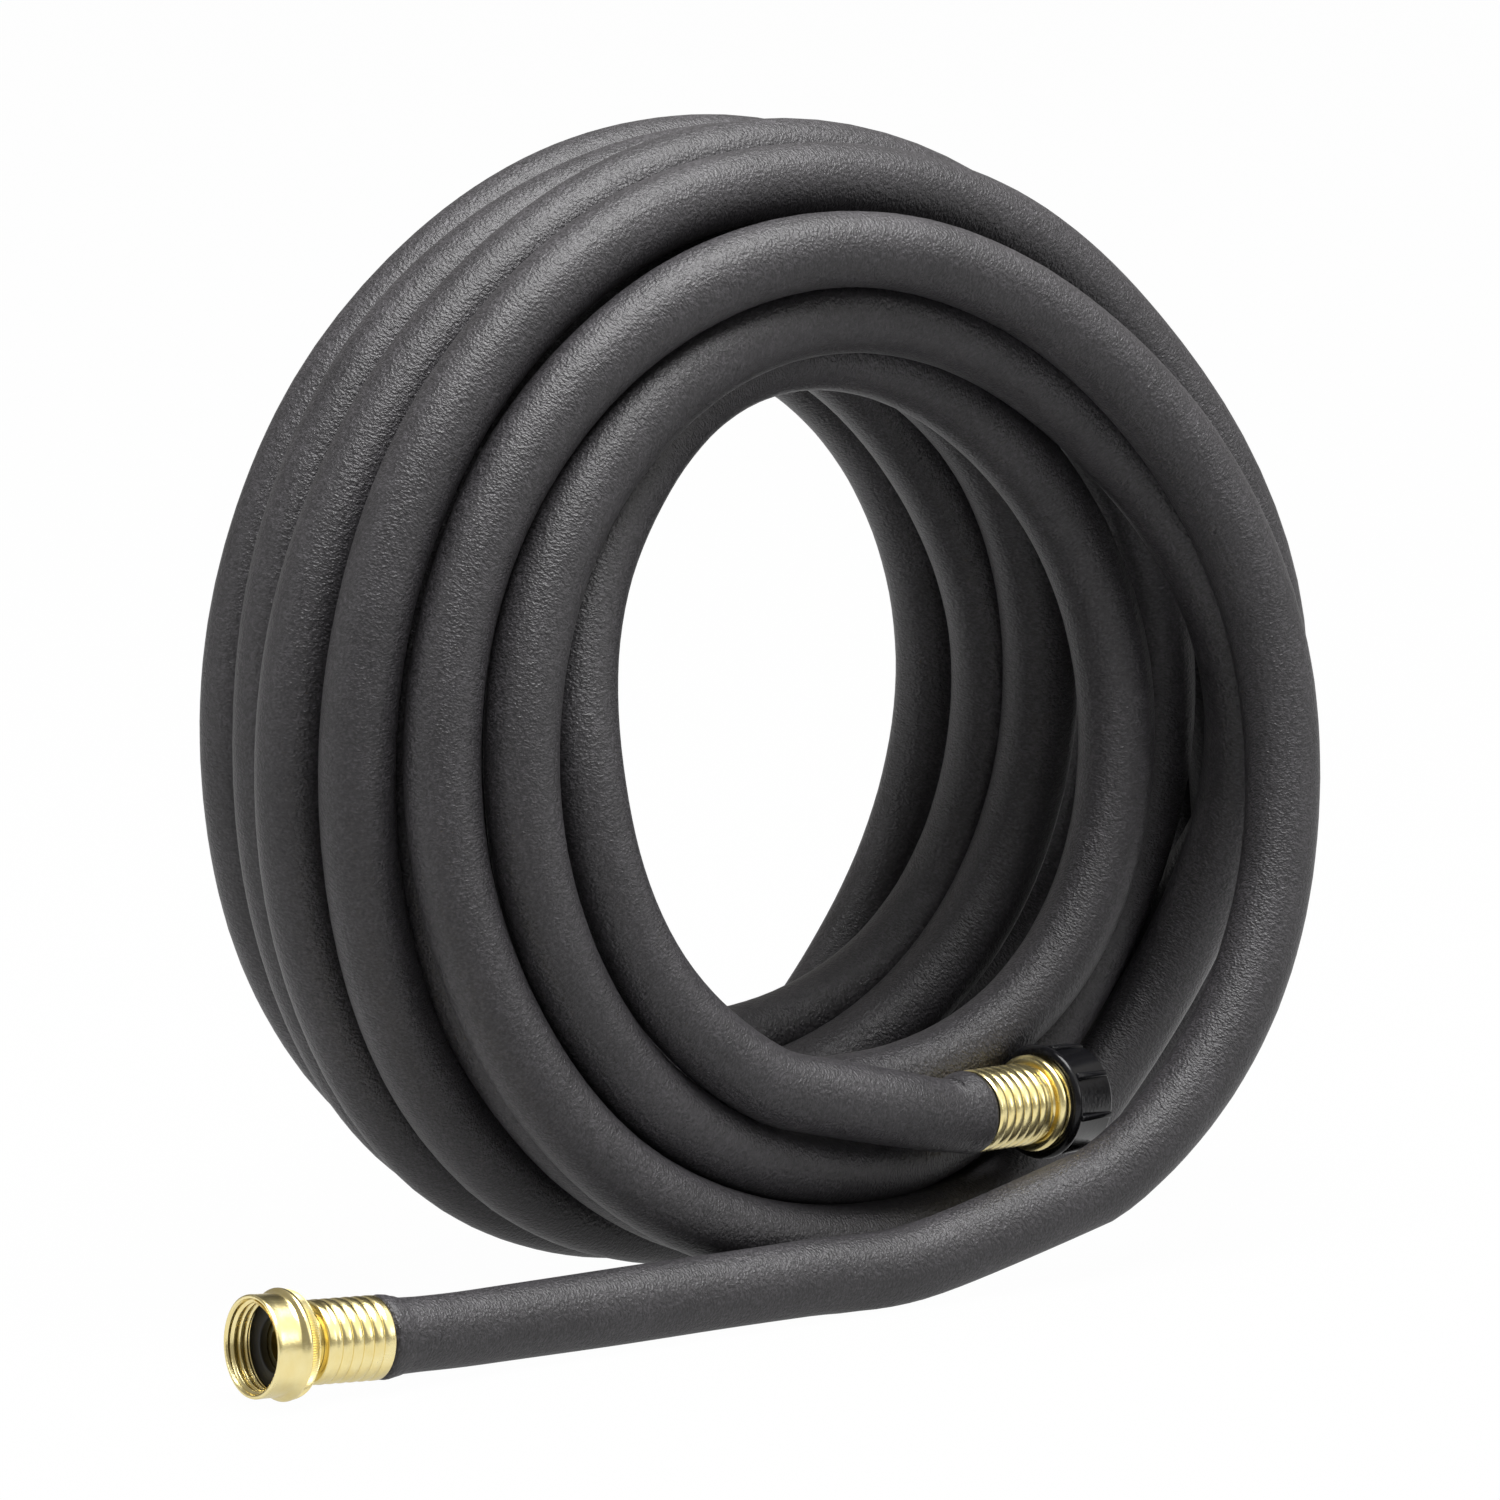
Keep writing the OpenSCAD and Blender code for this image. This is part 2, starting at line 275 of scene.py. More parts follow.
hose = {
    "diameter": 22.5,
    "sides": 32,
    "ringSpacing": 5.5,
    "fineSpacing": 0.6,  # of the rings near both ends, where the hose bulges at its ferrule
    "fineLength": 12.0,
    "samplesPerTurn": 96,
    "skipped": (6, 8),  # samples left out where the first and last turns run on to the ends
    "joinSamples": 12,
    "axis": (3.0, 155.5),  # x and z of the axis that the turns are wound about
    # radius of each turn at eight stations, from the bottom round by the left, top and right
    "radius": [
        [101, 97, 98, 107, 114, 112, 111, 112],
        [104, 103, 105, 111, 117, 118, 116, 117],
        [117, 117, 118, 119, 119, 111, 111, 114],
        [105, 107, 110, 112, 112, 111, 112, 119],
        [136, 148, 151, 159, 165, 162, 154, 147],
        [143, 157, 157, 165, 166, 168, 160, 150],
        [143, 162, 166, 169, 170, 164, 163, 159],
        [144, 157, 162, 170, 168, 162, 162, 160],
        [143, 142, 140, 145, 144, 140, 137, 137],
        [122, 120, 122, 127, 128, 129, 144, 160],
        [142, 144, 144, 149, 149, 140, 140, 144],
        [144],
    ],
    # place of each turn from front to back at the same stations
    "depth": [
        [-70, -66, -58, -36, -13, -15, -25, -32],
        [-32, -28, -13, 0, 11, 18, 21, 22],
        [24, 27, 31, 36, 41, 45, 41, 44],
        [46, 49, 53, 59, 65, 71, 72, 72],
        [57, 49, 47, 48, 49, 48, 46, 68],
        [34, 20, 20, 25, 26, 26, 22, 48],
        [11, -2, -6, -2, 4, 3, -2, 28],
        [-12, -26, -34, -31, -19, -18, -32, 7],
        [-34, -45, -30, -20, -12, -9, -10, -11],
        [-52, -63, -60, -47, -33, -33, -43, -17],
        [-61, -66, -52, -43, -41, -52, -68, -82],
        [-84],
    ],
    # where a turn bulges from its table: place in turns, half width in turns, and how far.
    # The back turns spread at the lower right, and one sinks a little at the top.
    "spread": [(4.83, 0.11, 14), (5.83, 0.11, 28), (6.845, 0.105, 41), (7.51, 0.08, -2)],
    "tail": [
        (-38, -84, 11.3),
        (-78, -84, 11.3),
        (-112, -84.5, 11.4),
        (-142, -86, 11.9),
        (-160, -87.5, 12.4),
    ],
    "lead": 12.0,  # straight length behind each ferrule
    "tucked": 3.0,  # length inside each ferrule
    # outside radius at distances behind a ferrule's mouth, where the crimp squeezes the rubber out
    "mouth": [
        (-3, 10.9), (-0.4, 10.9), (0.4, 11.9), (1.4, 12.3),
        (2.8, 12.2), (5, 11.7), (8, 11.0), (11, 10.8),
    ],
    "settle": 40.0,  # length behind the mouth over which the hose comes to its own radius
    "unevenness": [(0.14, 37.0), (0.09, 13.7)],  # waves in the radius: height and length / 2 pi
    "tailLength": 150.0,  # the hose is a little thinner for this length at its inlet end
    "tailRadius": 10.8,
    "grainRadius": 11.0,  # of the round tube on which the rubber's pattern is laid out
}

# Where each ferrule's mouth is, how a fitting made along +Z is turned to sit there, and the
# way out of the hose.
inletRise = math.radians(3.6)
inlet = {
    "at": Vector((-189.3, -89.6, 14.3)),
    "turn": (0.0, inletRise - math.pi / 2, 0.0),
    "out": Vector((-math.cos(inletRise), 0.0, math.sin(inletRise))),
}
outletTurn, outletDip = math.radians(13), math.radians(3.5)
outlet = {
    "at": Vector((35, -63.5, 48.4)),
    "turn": (0.0, math.pi / 2 + outletDip, outletTurn),
    "out": Vector((
        math.cos(outletDip) * math.cos(outletTurn),
        math.cos(outletDip) * math.sin(outletTurn),
        -math.sin(outletDip),
    )),
}


# The value at a place in a list, along a smooth curve through all of its values.
def smoothValue(values, place):
    low = min(int(place), len(values) - 2)
    part = place - low
    a, b = values[low], values[low + 1]
    slopeA = (b - values[max(low - 1, 0)]) / 2
    slopeB = (values[min(low + 2, len(values) - 1)] - a) / 2
    bend = 3 * (b - a) - 2 * slopeA - slopeB
    return a + part * (slopeA + part * (bend + part * (2 * (a - b) + slopeA + slopeB)))


def coilPoints(setup):
    radii = [value for row in setup["radius"] for value in row]
    depths = [value for row in setup["depth"] for value in row]
    turns = len(setup["radius"]) - 1
    stations = len(setup["radius"][0])
    axisX, axisZ = setup["axis"]
    points = []
    for step in range(turns * setup["samplesPerTurn"] + 1):
        turn = step / setup["samplesPerTurn"]
        radius = smoothValue(radii, turn * stations)
        for place, half, out in setup["spread"]:
            if abs(turn - place) < half:
                radius += out * math.cos(math.pi / 2 * (turn - place) / half) ** 2
        depth = smoothValue(depths, turn * stations)
        angle = 2 * math.pi * turn
        x, z = axisX - radius * math.sin(angle), axisZ - radius * math.cos(angle)
        points.append(Vector((x, depth, z)))
    return points


def smoothThrough(knots, perSpan):
    axes = [list(values) for values in zip(*knots)]
    points = []
    for step in range((len(knots) - 1) * perSpan):
        points.append(Vector([smoothValue(values, step / perSpan) for values in axes]))
    points.append(Vector(knots[-1]))
    return points


# Distances along the hose at which its rings stand: close together near both ends.
def ringPlaces(length, setup):
    fine, spacing = setup["fineLength"], setup["fineSpacing"]
    fineCount = round(fine / spacing)
    start = [i * spacing for i in range(fineCount)]
    middle = length - 2 * fine
    count = round(middle / setup["ringSpacing"])
    between = [fine + middle * i / count for i in range(count + 1)]
    return start + between + [length - distance for distance in reversed(start)]


def ringsAlong(points, setup):
    lengths = [0.0]
    for a, b in zip(points, points[1:]):
        lengths.append(lengths[-1] + (b - a).length)
    rings = []
    at = 0
    for wanted in ringPlaces(lengths[-1], setup):
        while at < len(points) - 2 and lengths[at + 1] < wanted:
            at += 1
        part = (wanted - lengths[at]) / (lengths[at + 1] - lengths[at])
        rings.append((points[at].lerp(points[at + 1], min(part, 1)), wanted))
    return rings, lengths[-1]


# From inside the outlet's ferrule, round the coil from front to back and front again, along the
# floor and into the inlet's ferrule.
def hoseRoute(setup):
    coil = coilPoints(setup)
    first, last = setup["skipped"]
    straight = (setup["tucked"], 0, -setup["lead"])
    outTuck, outMouth, outLead = [outlet["at"] + outlet["out"] * length for length in straight]
    inTuck, inMouth, inLead = [inlet["at"] + inlet["out"] * length for length in straight]
    samples = setup["joinSamples"]
    start = smoothThrough([outMouth, outLead, coil[0], coil[first]], samples)
    tail = smoothThrough([coil[-last], coil[-1]] + setup["tail"] + [inLead, inMouth], samples)
    return ringsAlong([outTuck] + start + coil[first + 1:-last] + tail + [inTuck], setup)


# From a to b as the part goes from 0 to 1, level at both ends.
def ease(a, b, part):
    part = min(max(part, 0), 1)
    return a + (b - a) * (3 - 2 * part) * part ** 2


def hoseRadius(travelled, length, setup):
    radius = setup["diameter"] / 2
    for height, wave in setup["unevenness"]:
        radius += height * math.sin(travelled / wave)
    fromInlet = length - travelled
    if fromInlet < setup["tailLength"]:
        share = 0.5 - 0.5 * math.cos(math.pi * fromInlet / setup["tailLength"])
        radius = setup["tailRadius"] + (radius - setup["tailRadius"]) * share
    toMouth = min(travelled, fromInlet) - setup["tucked"]
    table = setup["mouth"]
    for (near, nearRadius), (far, farRadius) in zip(table, table[1:]):
        if toMouth < far:
            return ease(nearRadius, farRadius, (toMouth - near) / (far - near))
    last, lastRadius = table[-1]
    return ease(lastRadius, radius, (toMouth - last) / setup["settle"])


# The rings are turned as little as can be from one to the next. Each vertex keeps its place on a
# straight tube as an attribute, for the rubber's pattern to follow the hose.
def sweepTube(name, rings, length, setup):
    sides = setup["sides"]
    grainRadius = setup["grainRadius"] * mm
    verts = []
    coords = []
    side = None
    for i, (point, travelled) in enumerate(rings):
        ahead = rings[min(i + 1, len(rings) - 1)][0]
        behind = rings[max(i - 1, 0)][0]
        along = (ahead - behind).normalized()
        if side is None:
            side = along.cross(Vector((0, 1, 0))).normalized()
        side = (side - along * side.dot(along)).normalized()
        up = side.cross(along)
        radius = hoseRadius(travelled, length, setup)
        for k in range(sides):
            angle = 2 * math.pi * k / sides
            spoke = side * math.cos(angle) + up * math.sin(angle)
            vert = (coilAt + point + spoke * radius) * mm
            vert.z = max(vert.z, 0)  # the hose lies flat where it touches the floor
            verts.append(vert)
            x, y = grainRadius * math.cos(angle), grainRadius * math.sin(angle)
            coords.extend((x, y, travelled * mm))
    faces = []
    for i in range(len(rings) - 1):
        for k in range(sides):
            nextSide = (k + 1) % sides
            a, b = i * sides, (i + 1) * sides
            faces.append((a + k, a + nextSide, b + nextSide, b + k))
    last = (len(rings) - 1) * sides
    faces.append(tuple(range(sides - 1, -1, -1)))
    faces.append(tuple(last + k for k in range(sides)))
    mesh = bpy.data.meshes.new(name)
    mesh.from_pydata(verts, [], faces)
    attribute = mesh.attributes.new("hoseCoord", "FLOAT_VECTOR", "POINT")
    attribute.data.foreach_set("vector", coords)
    mesh.polygons.foreach_set("use_smooth", [True] * len(mesh.polygons))
    mesh.update()
    tube = bpy.data.objects.new(name, mesh)
    bpy.context.collection.objects.link(tube)
    return tube


def dress(piece, material, slotName, body, *nodes):
    piece.data.materials.clear()
    piece.data.materials.append(material)
    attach(piece, body)
    if nodes:
        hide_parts(*nodes)


hoseRings, hoseLength = hoseRoute(hose)
hosePiece = sweepTube("soaker_hose", hoseRings, hoseLength, hose)
hoseNodes = (
    "hose_coil", "hose_front_turns", "hose_inner_turn", "hose_inlet_end", "hose_outlet_end",
)
dress(hosePiece, rubber, "hose_rubber", "hose", *hoseNodes)
print("hose", round(hoseLength), "mm")


mergeDistance = 0.002  # points that are closer than this are one


def clearSelection():
    bpy.ops.object.select_all(action="DESELECT")


def pickOnly(piece):
    clearSelection()
    piece.select_set(True)
    bpy.context.view_layer.objects.active = piece


def fixTransform():
    bpy.ops.object.transform_apply(location=True, rotation=True, scale=True)


def selectVerts(piece, chosen):
    bpy.ops.object.mode_set(mode="EDIT")
    bpy.ops.mesh.select_mode(type="VERT")
    bpy.ops.mesh.select_all(action="DESELECT")
    bpy.ops.object.mode_set(mode="OBJECT")
    for vert in piece.data.vertices:
        vert.select = chosen(vert.co)
    bpy.ops.object.mode_set(mode="EDIT")


# A turned piece: a ring that is drawn along its axis and resized from point to point of an
# outline of (radius, distance) pairs. A closed outline ends where it starts.
def turnPiece(name, outline, sides, closed=True):
    clearSelection()
    radius, height = outline[0]
    middle = (0, 0, height * mm)
    bpy.ops.mesh.primitive_circle_add(vertices=sides, radius=radius * mm, location=middle)
    piece = bpy.context.object
    piece.name = name
    fixTransform()
    bpy.ops.object.mode_set(mode="EDIT")
    for nextRadius, nextHeight in outline[1:] + (outline[:1] if closed else []):
        move = {"value": (0, 0, (nextHeight - height) * mm)}
        bpy.ops.mesh.extrude_region_move(TRANSFORM_OT_translate=move)
        grow = nextRadius / radius
        bpy.ops.transform.resize(value=(grow, grow, 1), center_override=(0, 0, nextHeight * mm))
        radius, height = nextRadius, nextHeight
    finishMesh(not closed)
    return piece


# Joins what meets, closes open ends if there are any, and turns every face outward.
def finishMesh(openEnds):
    bpy.ops.mesh.select_all(action="SELECT")
    bpy.ops.mesh.remove_doubles(threshold=mergeDistance * mm)
    if openEnds:
        bpy.ops.mesh.select_non_manifold()
        bpy.ops.mesh.fill_holes(sides=0)
        bpy.ops.mesh.select_all(action="SELECT")
    bpy.ops.mesh.normals_make_consistent(inside=False)
    bpy.ops.object.mode_set(mode="OBJECT")


def applyModifier(piece, kind, settings):
    modifier = piece.modifiers.new(kind.lower(), kind)
    for key, value in settings.items():
        setattr(modifier, key, value)
    bpy.ops.object.modifier_apply(modifier=modifier.name)


# Rounds the edges that are sharper than an angle.
def roundEdges(piece, width, angle=35):
    bevel = {
        "width": width * mm, "segments": 3,
        "limit_method": "ANGLE", "angle_limit": math.radians(angle),
    }
    applyModifier(piece, "BEVEL", bevel)


def smoothFaces(piece, angle=40):
    pickOnly(piece)
    bpy.ops.object.shade_smooth_by_angle(angle=math.radians(angle))


# The helical ridge of a thread, from a four-sided bar drawn round with a screw.
def threadRidge(name, setup):
    clearSelection()
    root, crest = setup["root"], setup["crest"]
    middle = ((root + crest) / 2 * mm, 0, setup["start"] * mm)
    bpy.ops.mesh.primitive_plane_add(size=1, location=middle, rotation=(math.pi / 2, 0, 0))
    ridge = bpy.context.object
    ridge.name = name
    ridge.scale = (abs(crest - root) * mm, setup["rootWidth"] * mm, 1)
    fixTransform()
    side = 1 if crest > root else -1
    selectVerts(ridge, lambda co: (co.x - middle[0]) * side > 0)
    narrow = setup["crestWidth"] / setup["rootWidth"]
    bpy.ops.transform.resize(value=(1, 1, narrow), center_override=(crest * mm, 0, middle[2]))
    bpy.ops.mesh.bevel(offset=setup["crestRound"] * mm, segments=2, affect="VERTICES")
    bpy.ops.mesh.select_all(action="SELECT")
    bpy.ops.mesh.delete(type="ONLY_FACE")
    bpy.ops.object.mode_set(mode="OBJECT")
    screw = {
        "axis": "Z", "angle": 2 * math.pi, "screw_offset": setup["pitch"] * mm,
        "iterations": setup["turns"], "steps": setup["steps"], "render_steps": setup["steps"],
    }
    applyModifier(ridge, "SCREW", screw)
    bpy.ops.object.mode_set(mode="EDIT")
    finishMesh(True)
    smoothFaces(ridge)
    return ridge


def turnAndFix(piece, turn, location):
    pickOnly(piece)
    piece.rotation_mode = "XYZ"
    piece.rotation_euler = turn
    piece.location = location
    fixTransform()


# Puts a finished piece, made along +Z, at a fitting and fixes its place in its mesh.
def seatPiece(piece, fitting):
    turnAndFix(piece, fitting["turn"], rowPoint(*fitting["at"]))


def copyPiece(piece, name):
    twin = piece.copy()
    twin.data = piece.data.copy()
    twin.name = name
    bpy.context.collection.objects.link(twin)
    return twin


threadPitch = 2.2087

ferrule = {
    "radius": 12.25,
    "inside": 11.0,
    "hole": 9.75,  # round the stem's neck
    "start": 0.4,
    "length": 23.4,
    "wall": 1.0,
    "firstGroove": 4.1,
    "groovePitch": 3.55,
    "grooves": 5,
    "grooveDepth": 0.55,
    "swell": 0.55,  # how round the ridges are: less is squarer
    "firstDip": 0.1,  # of the first ridge, just behind its rounded heel
    "ridgeSteps": 7,
    "sides": 112,
    # how much further out than the inside, and how far from the start
    "mouth": [(0.0, 0.5), (0.3, 0.1)],
    # how much less than the radius, and how far from the start, from the last groove, and back
    # from the front
    "heel": [(0.45, 0.0), (0.08, 0.45)],
    "step": [(0.18, 0.5), (0.02, 1.1), (0.0, 1.9), (0.16, 2.25), (0.12, 2.6)],
    "lip": [(0.1, 0.7), (0.3, 0.2), (0.75, 0.0)],
}


# Rounded ridges with a sharp groove between each pair, then a plain band at the front.
def makeFerrule(setup):
    radius, inside, hole = setup["radius"], setup["inside"], setup["hole"]
    start, front = setup["start"], setup["length"]
    back = front - setup["wall"]
    outline = [(inside + gain, start + distance) for gain, distance in setup["mouth"]]
    outline += [(radius - loss, start + distance) for loss, distance in setup["heel"]]
    grooves = [setup["firstGroove"] + i * setup["groovePitch"] for i in range(setup["grooves"])]
    steps = setup["ridgeSteps"]
    low = outline[-1][1]
    for groove in grooves:
        for step in range(1, steps + 1):
            part = step / steps
            swell = math.sin(math.pi * part) ** setup["swell"] if step < steps else 0
            if groove == grooves[0] and part < 0.5:
                swell = 1 - setup["firstDip"] * math.sin(2 * math.pi * part)
            loss = setup["grooveDepth"] * (1 - swell)
            outline.append((radius - loss, low + (groove - low) * part))
        low = groove
    outline += [(radius - loss, low + distance) for loss, distance in setup["step"]]
    outline += [(radius - loss, front - distance) for loss, distance in setup["lip"]]
    outline += [(hole, front), (hole, back), (inside, back)]
    piece = turnPiece("ferrule", outline, setup["sides"])
    smoothFaces(piece, angle=50)
    return piece


nut = {
    "sides": 264,  # two to each tooth of the knurl
    "outline": [
        # the mouth, from its inner edge out
        (13.5, 41.3), (13.85, 41.85), (14.2, 42.0), (14.6, 41.98), (14.88, 41.8), (15.0, 41.4),
        # back along the barrel
        (14.98, 40.8), (14.93, 40.2), (14.9, 39.4), (14.88, 37.5), (14.86, 35.4), (14.86, 34.5),
        # over the bead
        (14.95, 34.0), (15.25, 33.6), (15.75, 33.2), (16.12, 32.85), (16.3, 32.4), (16.3, 32.0),
        (16.22, 31.6), (16.08, 31.35),
        # down the knurled shoulder
        (16.04, 31.2), (15.95, 30.4), (15.8, 29.6), (15.6, 28.95), (15.5, 28.7), (15.25, 28.3),
        (14.7, 27.95), (14.0, 27.8),
        # round the stem's neck and flange, under the washer and out to the bore
        (9.75, 27.8), (9.75, 29.8), (11.82, 29.8), (11.82, 31.45), (13.3, 31.45), (13.3, 34.15),
        (13.5, 34.4),
    ],
    "knurl": (28.6, 31.3),
    "knurlInside": 15.0,  # only what is further out than this is knurled
    "knurlDepth": 0.972,  # share of the radius that a groove keeps
    "thread": {
        "root": 13.6, "crest": 12.55, "rootWidth": 1.75, "crestWidth": 0.55,
        "crestRound": 0.1925, "pitch": threadPitch, "turns": 3, "steps": 96, "start": 34.75,
    },
}


def makeSwivelNut(setup):
    piece = turnPiece("swivel_nut", setup["outline"], setup["sides"])
    low, high = (height * mm for height in setup["knurl"])
    inside = setup["knurlInside"] * mm
    spacing = 2 * math.pi / setup["sides"]

    # every second vertex round the knurl
    def groove(co):
        odd = round(math.atan2(co.y, co.x) / spacing) % 2 == 1
        return odd and low < co.z < high and math.hypot(co.x, co.y) > inside

    selectVerts(piece, groove)
    depth = setup["knurlDepth"]
    bpy.ops.transform.resize(value=(depth, depth, 1), center_override=(0, 0, 0))
    bpy.ops.object.mode_set(mode="OBJECT")
    smoothFaces(piece, angle=32)
    return piece


washer = {
    "outside": 13.25, "inside": 8.0, "back": 31.45, "thickness": 2.7, "edge": 0.5, "sides": 96,
}


def makeWasher(setup):
    inside, outside = setup["inside"], setup["outside"]
    low, high = setup["back"], setup["back"] + setup["thickness"]
    outline = [(inside, low), (outside, low), (outside, high), (inside, high)]
    piece = turnPiece("nut_washer", outline, setup["sides"])
    roundEdges(piece, setup["edge"])
    smoothFaces(piece)
    return piece


outletFitting = {
    "sides": 128,
    "outline": [
        # the barbed shank in the hose
        (6.0, 3.0), (7.4, 3.0), (7.85, 5.5), (7.4, 5.7), (7.85, 10.5), (7.4, 10.7), (7.85, 15.5),
        (7.4, 15.7), (7.85, 21.0),
        # the neck
        (9.6, 22.0), (10.9, 23.2), (11.0, 24.6), (11.3, 25.0),
        # the round collar
        (12.6, 24.95), (13.5, 25.1), (14.05, 25.5), (14.3, 26.1), (14.3, 26.7), (14.05, 27.2),
        (13.5, 27.5), (12.7, 27.6), (12.3, 27.75),
        # the barrel that carries the thread, and its bore
        (12.25, 28.2), (12.25, 40.2), (11.9, 40.8), (11.5, 41.0), (6.6, 41.0), (6.0, 40.5),
    ],
    "thread": {
        "root": 12.1, "crest": 13.15, "rootWidth": 1.75, "crestWidth": 0.55,
        "crestRound": 0.1925, "pitch": threadPitch, "turns": 5, "steps": 96, "start": 28.9,
    },
}


def makeOutletFitting(setup):
    piece = turnPiece("outlet_barb_fitting", setup["outline"], setup["sides"])
    smoothFaces(piece, angle=35)
    return piece


cap = {
    "sides": 128,
    "outline": [
        # the closed end from inside, and the bore
        (0.6, 43.8), (12.6, 43.8), (13.28, 43.2), (13.28, 29.6),
        # the round rim at the mouth
        (13.5, 29.15), (13.9, 28.9), (14.5, 28.8), (15.6, 28.85), (16.3, 29.1), (16.8, 29.6),
        (16.98, 30.2), (16.9, 30.8), (16.6, 31.25), (16.2, 31.5),
        # the wall and the end's chamfer
        (15.98, 31.9), (15.98, 44.3), (15.75, 44.9), (14.9, 45.6), (14.3, 45.8), (0.6, 45.8),
    ],
    "ribs": 8,
    "firstRib": 10.0,
    "rib": {
        "height": 17.28, "root": 14.6, "width": 1.9, "from": 31.2, "to": 44.7,
        "edge": 0.55, "lean": 0.7,  # how far the bar sinks towards the closed end's chamfer
    },
}


def makeCap(setup):
    shell = turnPiece("screw_cap", setup["outline"], setup["sides"], closed=False)
    smoothFaces(shell, angle=35)
    return shell


def makeCapRib(setup):
    clearSelection()
    depth = setup["height"] - setup["root"]
    length = setup["to"] - setup["from"]
    middle = ((setup["root"] + depth / 2) * mm, 0, (setup["from"] + length / 2) * mm)
    bpy.ops.mesh.primitive_cube_add(size=1, location=middle)
    rib = bpy.context.object
    rib.name = "cap_rib_1"
    rib.scale = (depth * mm, setup["width"] * mm, length * mm)
    fixTransform()
    selectVerts(rib, lambda co: co.x > middle[0] and co.z > middle[2])
    bpy.ops.transform.translate(value=(-setup["lean"] * mm, 0, 0))
    bpy.ops.object.mode_set(mode="OBJECT")
    roundEdges(rib, setup["edge"], angle=25)
    smoothFaces(rib, angle=60)
    return rib


inletFerrule = makeFerrule(ferrule)
inletFerrule.name = "inlet_crimp_ferrule"
outletFerrule = copyPiece(inletFerrule, "outlet_crimp_ferrule")
seatPiece(inletFerrule, inlet)
seatPiece(outletFerrule, outlet)
dress(inletFerrule, brass, "brass", "hose", "inlet_ferrule")
dress(outletFerrule, brass, "brass", "hose", "outlet_ferrule")

swivelNut = makeSwivelNut(nut)
seatPiece(swivelNut, inlet)
dress(swivelNut, brass, "brass", "swivel_nut", "inlet_swivel_nut")
nutThread = threadRidge("nut_thread", nut["thread"])
seatPiece(nutThread, inlet)
dress(nutThread, brass, "brass", "swivel_nut")

nutWasher = makeWasher(washer)
seatPiece(nutWasher, inlet)
dress(nutWasher, washerRubber, "washer_rubber", "swivel_nut", "inlet_washer")
print("inlet fittings")

barbFitting = makeOutletFitting(outletFitting)
seatPiece(barbFitting, outlet)
dress(barbFitting, brass, "brass", "hose", "outlet_fitting")
maleThread = threadRidge("outlet_thread", outletFitting["thread"])
seatPiece(maleThread, outlet)
dress(maleThread, brass, "brass", "hose")

capShell = makeCap(cap)
capRib = makeCapRib(cap["rib"])
ribs = [capRib] + [copyPiece(capRib, f"cap_rib_{i + 1}") for i in range(1, cap["ribs"])]
for i, rib in enumerate(ribs):
    turn = math.radians(cap["firstRib"]) + 2 * math.pi * i / cap["ribs"]
    turnAndFix(rib, (0, 0, turn), (0, 0, 0))
    seatPiece(rib, outlet)
    dress(rib, capPlastic, "cap_plastic", "end_cap")
seatPiece(capShell, outlet)
dress(capShell, capPlastic, "cap_plastic", "end_cap", "end_cap")
print("outlet fittings")

# the plain stem and the cap's hidden washer stay as they are, with a finish
for nodeName, material in (("inlet_stem", brass), ("end_cap_washer", washerRubber)):
    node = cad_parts[nodeName]
    node.data.materials.clear()
    node.data.materials.append(material)

hoseLength * mm
[tuple((coilAt + point) * mm) for point, travelled in hoseRings]


floorLook = {
    "size": 16.0,  # in metres
    "colour": (0.45, 0.45, 0.45, 1),
    "roughness": 0.9,
    "cameraShare": 0.985,  # of plain white where the camera sees the floor
    "glossyShare": 0.6,  # and where a shiny piece mirrors it
}


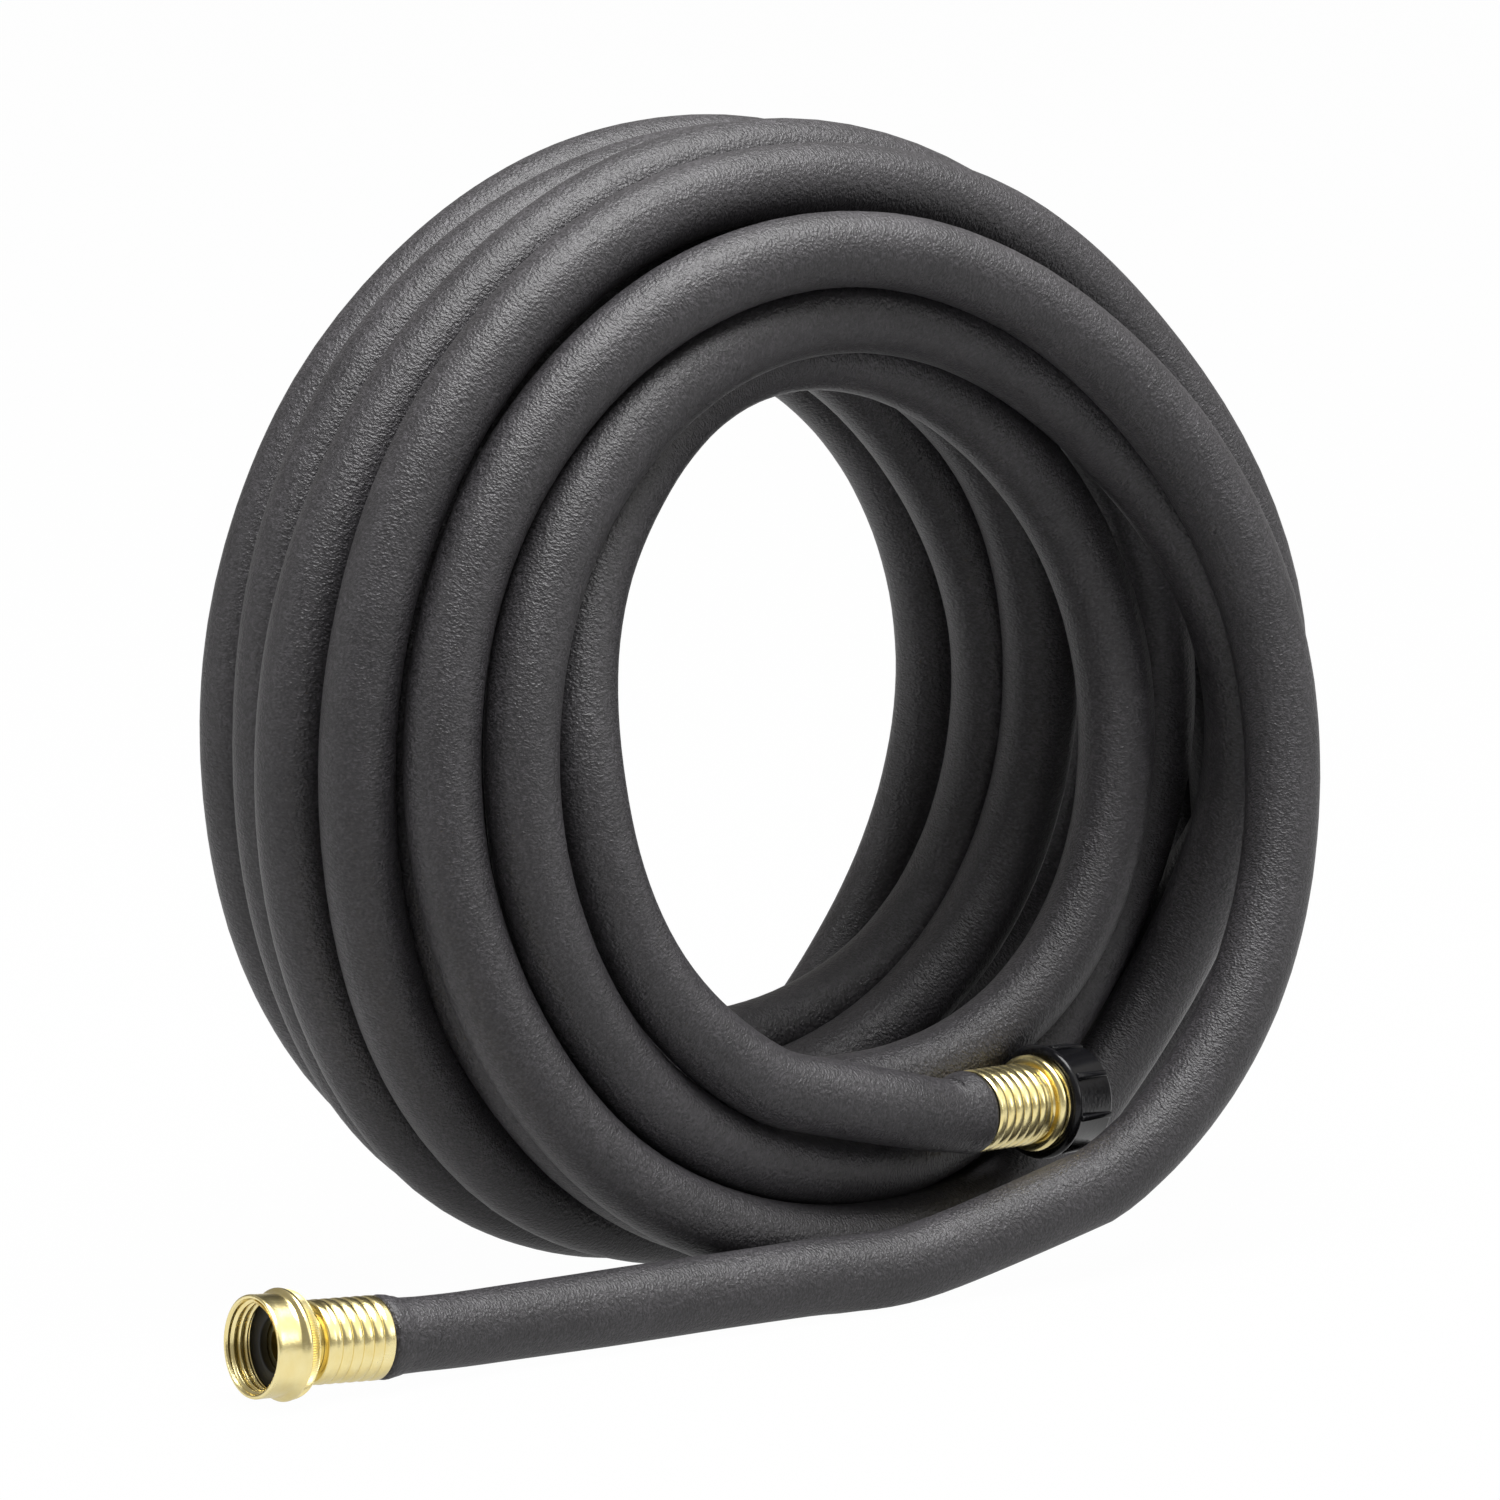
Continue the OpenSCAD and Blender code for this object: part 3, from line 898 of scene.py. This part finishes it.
def makeFloor(look):
    clearSelection()
    bpy.ops.mesh.primitive_plane_add(size=look["size"], location=(0, 0, 0))
    floor = bpy.context.object
    floor.name = "floor"
    board = MaterialBoard("paleFloor")
    board.set("Base Color", look["colour"])
    board.set("Roughness", look["roughness"])
    seen = board.ray("Is Camera Ray") * look["cameraShare"]
    mirrored = board.ray("Is Glossy Ray") * look["glossyShare"]
    white = board.node("ShaderNodeEmission", {}, {"Color": (1, 1, 1, 1), "Strength": 1.0})
    lit = Wire(board, board.shader.outputs[0])
    mixed = board.node("ShaderNodeMixShader", {}, {0: seen + mirrored, 1: lit, 2: white})
    board.feed(board.tree.nodes["Material Output"].inputs["Surface"], mixed)
    floor.data.materials.append(board.owner)


# Metres and watts.
lamps = {
    "topLamp": {"place": (0.1, -0.25, 2.0), "size": 1.7, "power": 88},
    "leftLamp": {"place": (-2.0, 0.6, 0.7), "size": 0.8, "power": 7},
    "frontLamp": {"place": (1.6, -1.7, 0.8), "size": 0.9, "power": 5},
}


def makeLamp(name, setup):
    bpy.ops.object.light_add(type="AREA", location=setup["place"])
    lamp = bpy.context.object
    lamp.name = name
    lamp.data.shape = "DISK"
    lamp.data.size = setup["size"]
    lamp.data.energy = setup["power"]
    away = Vector(setup["place"]) - cameraSetup["target"]
    lamp.rotation_mode = "QUATERNION"
    lamp.rotation_quaternion = away.to_track_quat("Z", "Y")


# The room is white to the camera and dim to the pieces. Shiny ones mirror a pale panel up in
# front and to the right, with softer grey round it.
worldLook = {
    "fill": (0.025, 0.025, 0.026, 1),
    "panelWay": (0.45, -0.45, 0.77),
    "panelEdge": (0.74, 0.79),  # cosines of the angles from the panel's middle
    "panel": (1.25, 1.25, 1.2, 1),
    "round": (0.30, 0.29, 0.275, 1),
    "seen": (1, 1, 1, 1),
}


def makeWorld(look):
    world = bpy.data.worlds.new("studioWorld")
    bpy.context.scene.world = world
    board = Board(world)
    way = board.node("ShaderNodeTexCoord", output="Generated")
    settings = {"operation": "DOT_PRODUCT"}
    inputs = {0: way, 1: look["panelWay"]}
    facing = board.node("ShaderNodeVectorMath", settings, inputs, output="Value")
    mirrored = board.ramp(facing, look["panelEdge"], (look["round"], look["panel"]))
    light = board.mix(board.ray("Is Glossy Ray"), look["fill"], mirrored)
    colour = board.mix(board.ray("Is Camera Ray"), light, look["seen"])
    board.feed(board.tree.nodes["Background"].inputs["Color"], colour)


makeFloor(floorLook)
makeWorld(worldLook)
for lampName, lampSetup in lamps.items():
    makeLamp(lampName, lampSetup)
bpy.context.scene.view_settings.view_transform = "Standard"
print("stage ready")

bpy.context.view_layer.update()
